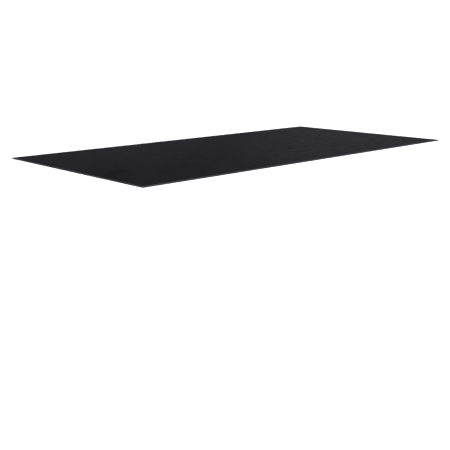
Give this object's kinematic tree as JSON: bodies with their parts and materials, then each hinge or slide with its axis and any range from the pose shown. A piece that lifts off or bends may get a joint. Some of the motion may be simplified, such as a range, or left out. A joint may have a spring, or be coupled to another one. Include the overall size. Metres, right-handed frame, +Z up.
{
  "type": "chair mat",
  "caption": "Thin flat rectangular chair mat: a matte black laminated panel with banded edges on a rubber grip underlay, for casters to roll on.",
  "frame": {"origin": "centre of the underside, on the floor that the mat lies on", "axes": "+X along the length, +Y across the width from the front edge to the back edge, +Z up through the thickness"},
  "size_m": [1.8288, 0.9144, 0.005],
  "materials": {
    "wear_laminate": "matte",
    "core_fibreboard": "matte",
    "backing_laminate": "matte",
    "edge_band": "satin",
    "grip_rubber": "matte"
  },
  "bodies": {
    "root": {"wear_sheet": "wear_laminate", "core_board": "core_fibreboard", "backing_sheet": "backing_laminate", "front_edge_band": "edge_band", "back_edge_band": "edge_band", "left_edge_band": "edge_band", "right_edge_band": "edge_band", "grip_underlay": "grip_rubber"}
  },
  "joints": []
}
